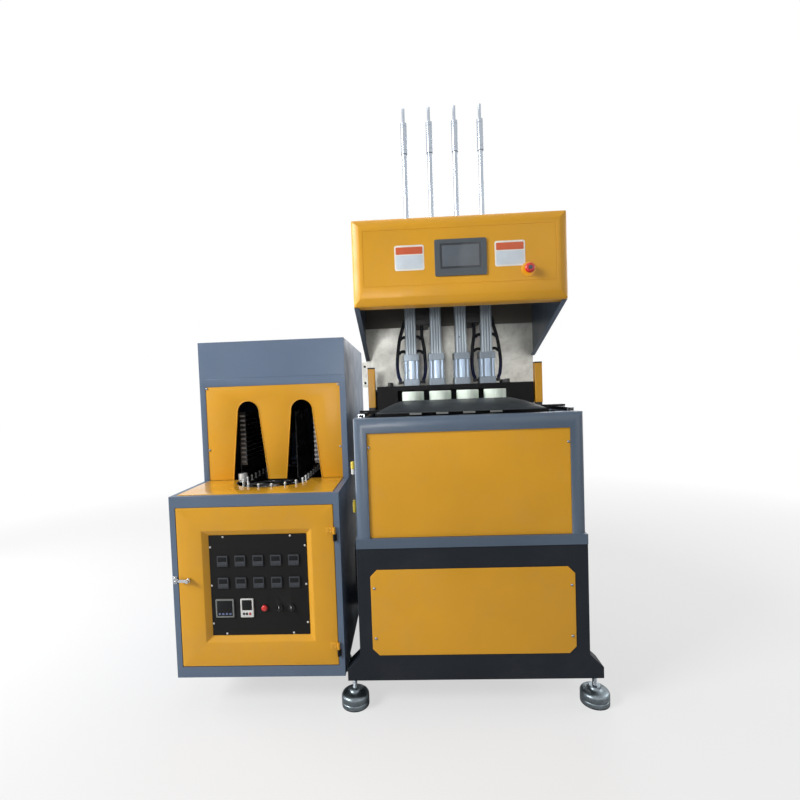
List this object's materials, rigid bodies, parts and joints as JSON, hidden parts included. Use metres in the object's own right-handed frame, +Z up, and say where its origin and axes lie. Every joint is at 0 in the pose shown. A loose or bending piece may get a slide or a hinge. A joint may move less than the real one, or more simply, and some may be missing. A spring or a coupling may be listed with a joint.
{
  "type": "stretch blow moulding machine",
  "caption": "Stretch blow moulding machine: a lamp oven with a preform chain beside a blowing unit with a split mould, stretch rods and a control hood.",
  "frame": {"origin": "on the floor under the middle of the whole machine's box", "axes": "+Z up, -Y towards the operator, +X to the operator's right, from the preform heater to the blowing unit"},
  "size_m": [1.897, 1.326, 2.86],
  "materials": {
    "yellow_paint": "semi-gloss yellow powder coat",
    "frame_paint": "semi-gloss blue-grey paint",
    "base_paint": "semi-gloss charcoal paint",
    "slate_paint": "matt slate paint",
    "black_steel": "matt black",
    "shield_grey": "semi-gloss dark grey",
    "bright_steel": "polished",
    "machined_steel": "machined",
    "mould_alloy": "milled",
    "cylinder_alloy": "anodised",
    "stainless": "mill finish",
    "hinge_brass": "gloss",
    "seat_nylon": "off-white nylon",
    "carrier_white": "white",
    "guide_chrome": "polished rail with a white nylon post",
    "hose_blue": "flexible air tube",
    "black_plastic": "moulded",
    "screen_plastic": "moulded bezel with a dark window",
    "collar_yellow": "moulded",
    "button_red": "moulded",
    "lamp_quartz": "frosted tube ends",
    "chain_steel": "oiled",
    "motor_paint": "enamel"
  },
  "bodies": {
    "machine": {"base_cover": "yellow_paint", "housing_panel": "yellow_paint", "hood_shell": "yellow_paint", "table_top": "yellow_paint", "arch_panel": "yellow_paint", "light_posts": "yellow_paint", "clamp_housing": "frame_paint", "cabinet_frame": "frame_paint", "oven_hood": "frame_paint", "base_frame": "base_paint", "rear_columns": "base_paint", "hood_sides": "slate_paint", "hood_decks": "slate_paint", "rear_platen": "black_steel", "head_frame": "black_steel", "chain_deck": "black_steel", "guide_rails": "bright_steel", "levelling_feet": "bright_steel", "panel_screws": "bright_steel", "mould_rear": "mould_alloy", "clamp_cylinder": "cylinder_alloy", "seal_cylinders": "cylinder_alloy", "stretch_cylinders": "cylinder_alloy", "back_plate": "stainless", "lamp_banks": "stainless", "door_fittings": "hinge_brass", "preform_carriers": "carrier_white", "chain_guides": "guide_chrome", "air_hoses": "hose_blue", "hose_fittings": "black_plastic", "valve_blocks": "black_plastic", "light_post_caps": "black_plastic", "screen_panel": "screen_plastic", "estop_collar": "collar_yellow", "lamp_tubes": "lamp_quartz", "preform_chain": "chain_steel", "gearmotor": "motor_paint"},
    "clamp_slide_group": {"front_platen": "black_steel", "mould_front": "mould_alloy", "shield_plate": "shield_grey", "neck_seats": "seat_nylon", "clamp_rod": "bright_steel"},
    "seal_head_1": {"seal_head_1": "machined_steel"},
    "seal_head_2": {"seal_head_2": "machined_steel"},
    "seal_head_3": {"seal_head_3": "machined_steel"},
    "seal_head_4": {"seal_head_4": "machined_steel"},
    "stretch_rod_1": {"stretch_rod_1": "bright_steel"},
    "stretch_rod_2": {"stretch_rod_2": "bright_steel"},
    "stretch_rod_3": {"stretch_rod_3": "bright_steel"},
    "stretch_rod_4": {"stretch_rod_4": "bright_steel"},
    "estop_button": {"estop_button": "button_red"},
    "door_group": {"door": "yellow_paint", "control_panel": "black_steel", "meters": "black_plastic"},
    "door_latch": {"door_latch": "machined_steel"},
    "stop_button": {"stop_button": "button_red"},
    "selector_1": {"selector_1": "black_plastic"},
    "selector_2": {"selector_2": "black_plastic"},
    "drive_sprocket": {"drive_sprocket": "machined_steel"},
    "idler_sprocket": {"idler_sprocket": "machined_steel"}
  },
  "joints": [
    {"name": "clamp_slide", "type": "slide", "parent": "machine", "child": "clamp_slide_group", "axis": [0, 1, 0], "range_m": [0, 0.21]},
    {"name": "seal_slide_1", "type": "slide", "parent": "machine", "child": "seal_head_1", "axis": [0, 0, -1], "range_m": [0, 0.04]},
    {"name": "seal_slide_2", "type": "slide", "parent": "machine", "child": "seal_head_2", "axis": [0, 0, -1], "range_m": [0, 0.04]},
    {"name": "seal_slide_3", "type": "slide", "parent": "machine", "child": "seal_head_3", "axis": [0, 0, -1], "range_m": [0, 0.04]},
    {"name": "seal_slide_4", "type": "slide", "parent": "machine", "child": "seal_head_4", "axis": [0, 0, -1], "range_m": [0, 0.04]},
    {"name": "stretch_slide_1", "type": "slide", "parent": "machine", "child": "stretch_rod_1", "axis": [0, 0, -1], "range_m": [0, 0.33]},
    {"name": "stretch_slide_2", "type": "slide", "parent": "machine", "child": "stretch_rod_2", "axis": [0, 0, -1], "range_m": [0, 0.33]},
    {"name": "stretch_slide_3", "type": "slide", "parent": "machine", "child": "stretch_rod_3", "axis": [0, 0, -1], "range_m": [0, 0.33]},
    {"name": "stretch_slide_4", "type": "slide", "parent": "machine", "child": "stretch_rod_4", "axis": [0, 0, -1], "range_m": [0, 0.33]},
    {"name": "estop_press", "type": "slide", "parent": "machine", "child": "estop_button", "axis": [0, 1, 0], "range_m": [0, 0.005], "stiffness_N_per_m": 400, "springref_m": -0.01},
    {"name": "door_swing", "type": "hinge", "parent": "machine", "child": "door_group", "pos_m": [-0.2225, -0.6423, 0.55], "axis": [0, 0, 1], "range_deg": [0, 110]},
    {"name": "latch_turn", "type": "hinge", "parent": "door_group", "child": "door_latch", "pos_m": [-0.8745, -0.636, 0.588], "axis": [0, 1, 0], "range_deg": [0, 90]},
    {"name": "stop_press", "type": "slide", "parent": "door_group", "child": "stop_button", "axis": [0, 1, 0], "range_m": [0, 0.005], "stiffness_N_per_m": 300, "springref_m": -0.01},
    {"name": "selector_turn_1", "type": "hinge", "parent": "door_group", "child": "selector_1", "pos_m": [-0.4805, -0.636, 0.451], "axis": [0, 1, 0], "range_deg": [-45, 45]},
    {"name": "selector_turn_2", "type": "hinge", "parent": "door_group", "child": "selector_2", "pos_m": [-0.4265, -0.636, 0.451], "axis": [0, 1, 0], "range_deg": [-45, 45]},
    {"name": "drive_spin", "type": "hinge", "parent": "machine", "child": "drive_sprocket", "pos_m": [-0.5735, 0.42125, 0.93], "axis": [0, 0, 1], "continuous": true},
    {"name": "idler_spin", "type": "hinge", "parent": "machine", "child": "idler_sprocket", "pos_m": [-0.5735, -0.309, 0.93], "axis": [0, 0, 1], "continuous": true}
  ],
  "couplings": [
    {"joint": "seal_slide_2", "follows": "seal_slide_1", "ratio": 1},
    {"joint": "seal_slide_3", "follows": "seal_slide_1", "ratio": 1},
    {"joint": "seal_slide_4", "follows": "seal_slide_1", "ratio": 1},
    {"joint": "stretch_slide_2", "follows": "stretch_slide_1", "ratio": 1},
    {"joint": "stretch_slide_3", "follows": "stretch_slide_1", "ratio": 1},
    {"joint": "stretch_slide_4", "follows": "stretch_slide_1", "ratio": 1},
    {"joint": "idler_spin", "follows": "drive_spin", "ratio": 1}
  ]
}
